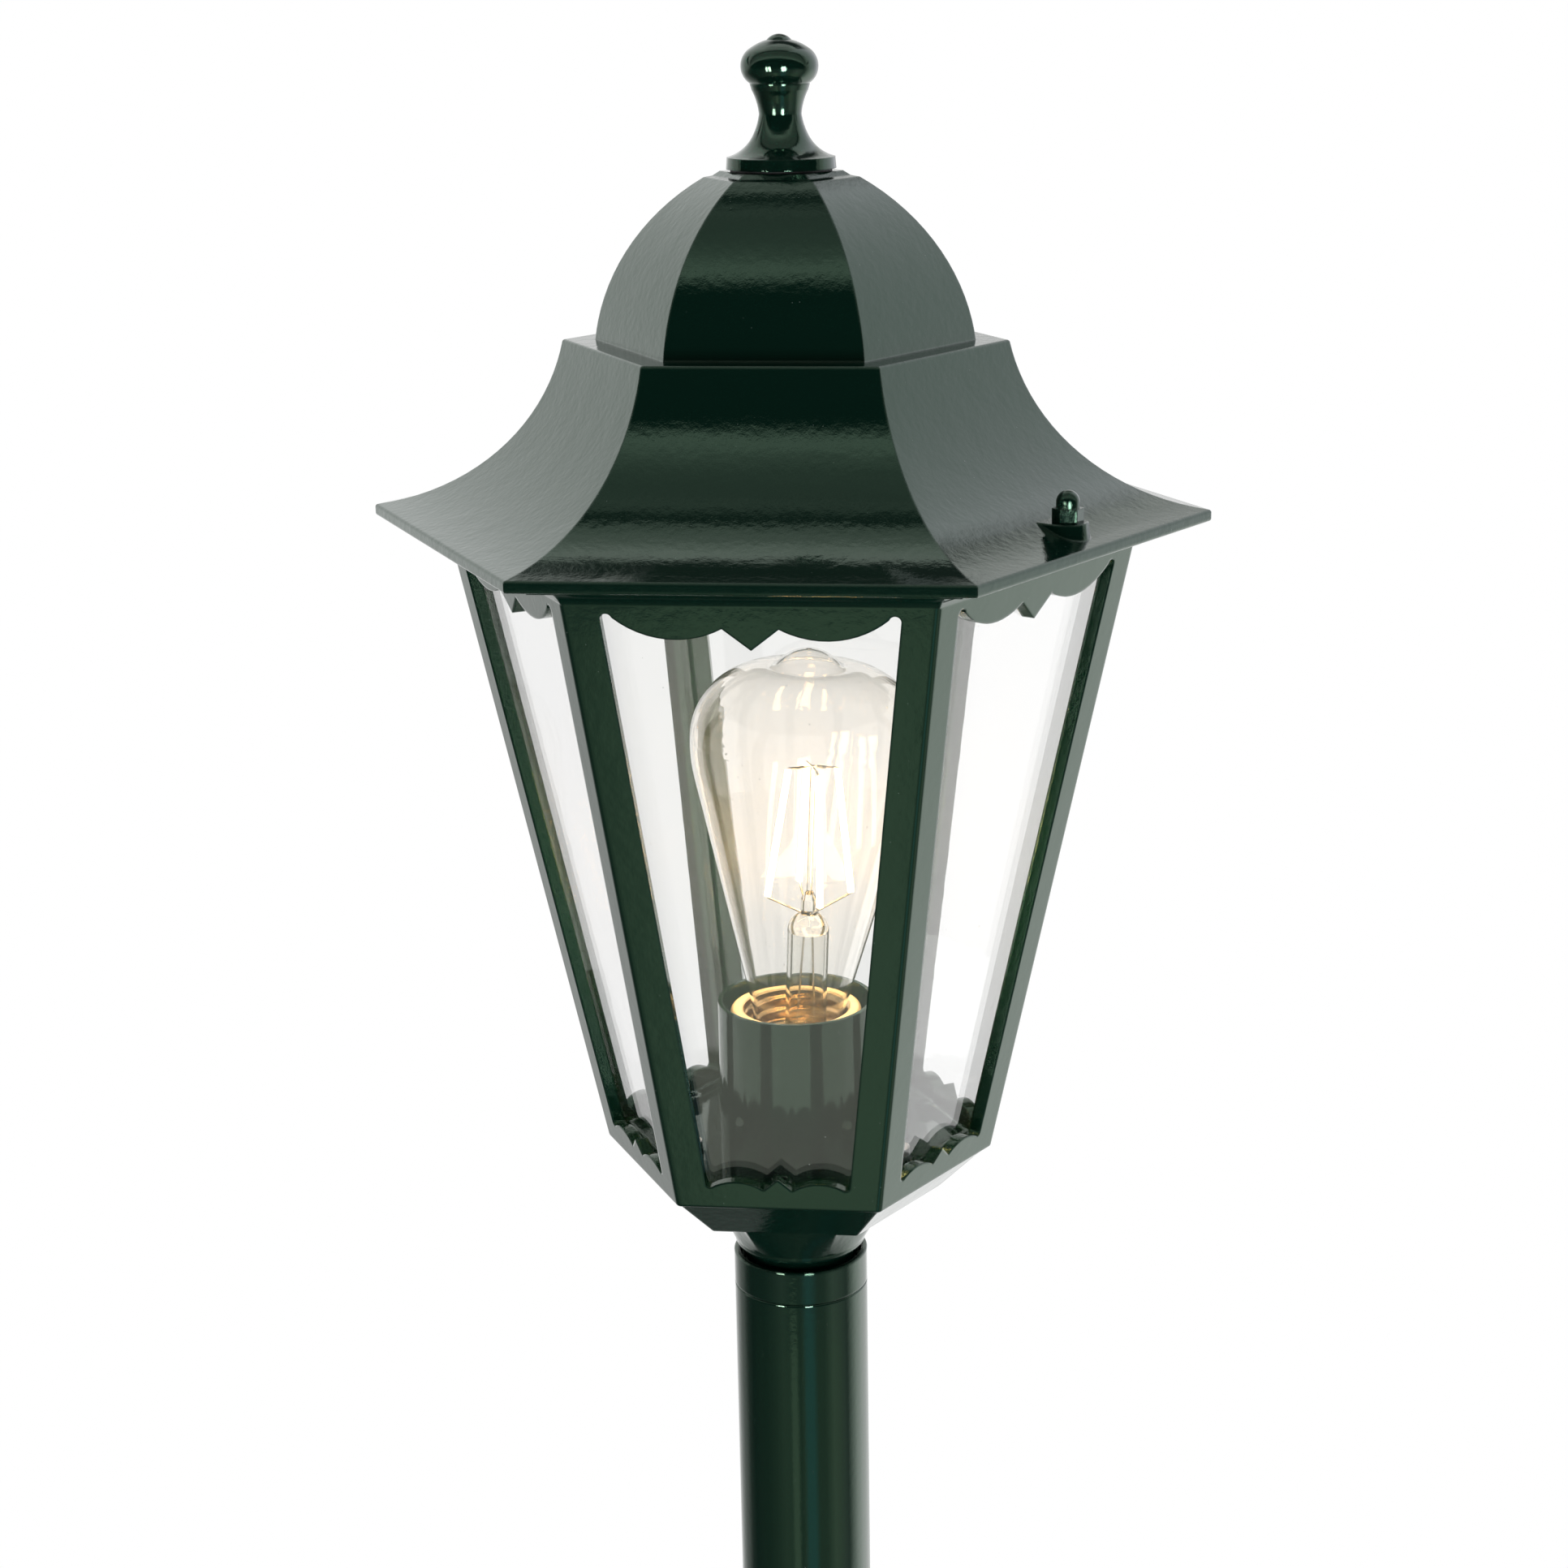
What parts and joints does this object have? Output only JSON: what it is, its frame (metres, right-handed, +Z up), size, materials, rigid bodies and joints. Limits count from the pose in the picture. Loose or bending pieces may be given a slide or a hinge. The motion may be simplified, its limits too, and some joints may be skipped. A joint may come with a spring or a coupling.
{
  "type": "outdoor lamp post",
  "caption": "Tall round garden lamp post on a bolt-down foot, with a hexagonal glazed lantern, scalloped window frames, flared roof, finial and a screw-in pear bulb.",
  "frame": {"origin": "centre of the foot's underside, on the ground", "axes": "+Z up along the post, -Y towards the lantern's front pane, +X to the right seen from the front"},
  "size_m": [0.2252, 0.195, 1.25],
  "materials": {
    "green_coat": "glossy dark green coat",
    "pane_glass": "clear polished",
    "bulb_glass": "clear polished",
    "steel": "zinc plated",
    "brass": "bright pressed sheet",
    "nickel": "bright nickel plate",
    "holder_white": "glazed off-white",
    "black_insulator": "vitrified black",
    "filament": "phosphor coat, lit",
    "seal_rubber": "matt"
  },
  "bodies": {
    "post": {"foot": "green_coat", "post_tube": "green_coat", "post_coupler": "green_coat", "lantern_base": "green_coat", "lantern_cage": "green_coat", "lampholder_cup": "green_coat", "pane_front": "pane_glass", "pane_right_front": "pane_glass", "pane_right_rear": "pane_glass", "pane_rear": "pane_glass", "pane_left_rear": "pane_glass", "pane_left_front": "pane_glass", "foot_grub_screws": "steel", "base_screws": "steel", "roof_studs": "steel", "nipple": "steel", "nipple_washer": "steel", "nipple_locknut": "steel", "lampholder_body": "holder_white", "lampholder_shell": "brass", "lampholder_contact": "brass"},
    "roof": {"roof": "green_coat", "finial": "green_coat", "finial_seal": "seal_rubber", "finial_nut": "steel"},
    "nut_right": {"cap_nut_right": "green_coat"},
    "nut_left": {"cap_nut_left": "green_coat"},
    "bulb": {"bulb_glass": "bulb_glass", "bulb_cap": "nickel", "bulb_insulator": "black_insulator", "bulb_tip_contact": "nickel", "bulb_stem": "bulb_glass", "bulb_filaments": "filament", "bulb_wires": "nickel"}
  },
  "joints": [
    {"name": "roof_lift", "type": "slide", "parent": "post", "child": "roof", "axis": [0, 0, 1], "range_m": [0, 0.12]},
    {"name": "nut_right_turn", "type": "hinge", "parent": "roof", "child": "nut_right", "pos_m": [0.07586, -0.0438, 1.13326], "axis": [0, 0, 1], "continuous": true},
    {"name": "nut_left_turn", "type": "hinge", "parent": "roof", "child": "nut_left", "pos_m": [-0.07586, 0.0438, 1.13326], "axis": [0, 0, 1], "continuous": true},
    {"name": "bulb_turn", "type": "hinge", "parent": "post", "child": "bulb", "pos_m": [0, 0, 0.96675], "axis": [0.0436, 0, 0.999], "range_deg": [0, 1080]}
  ]
}
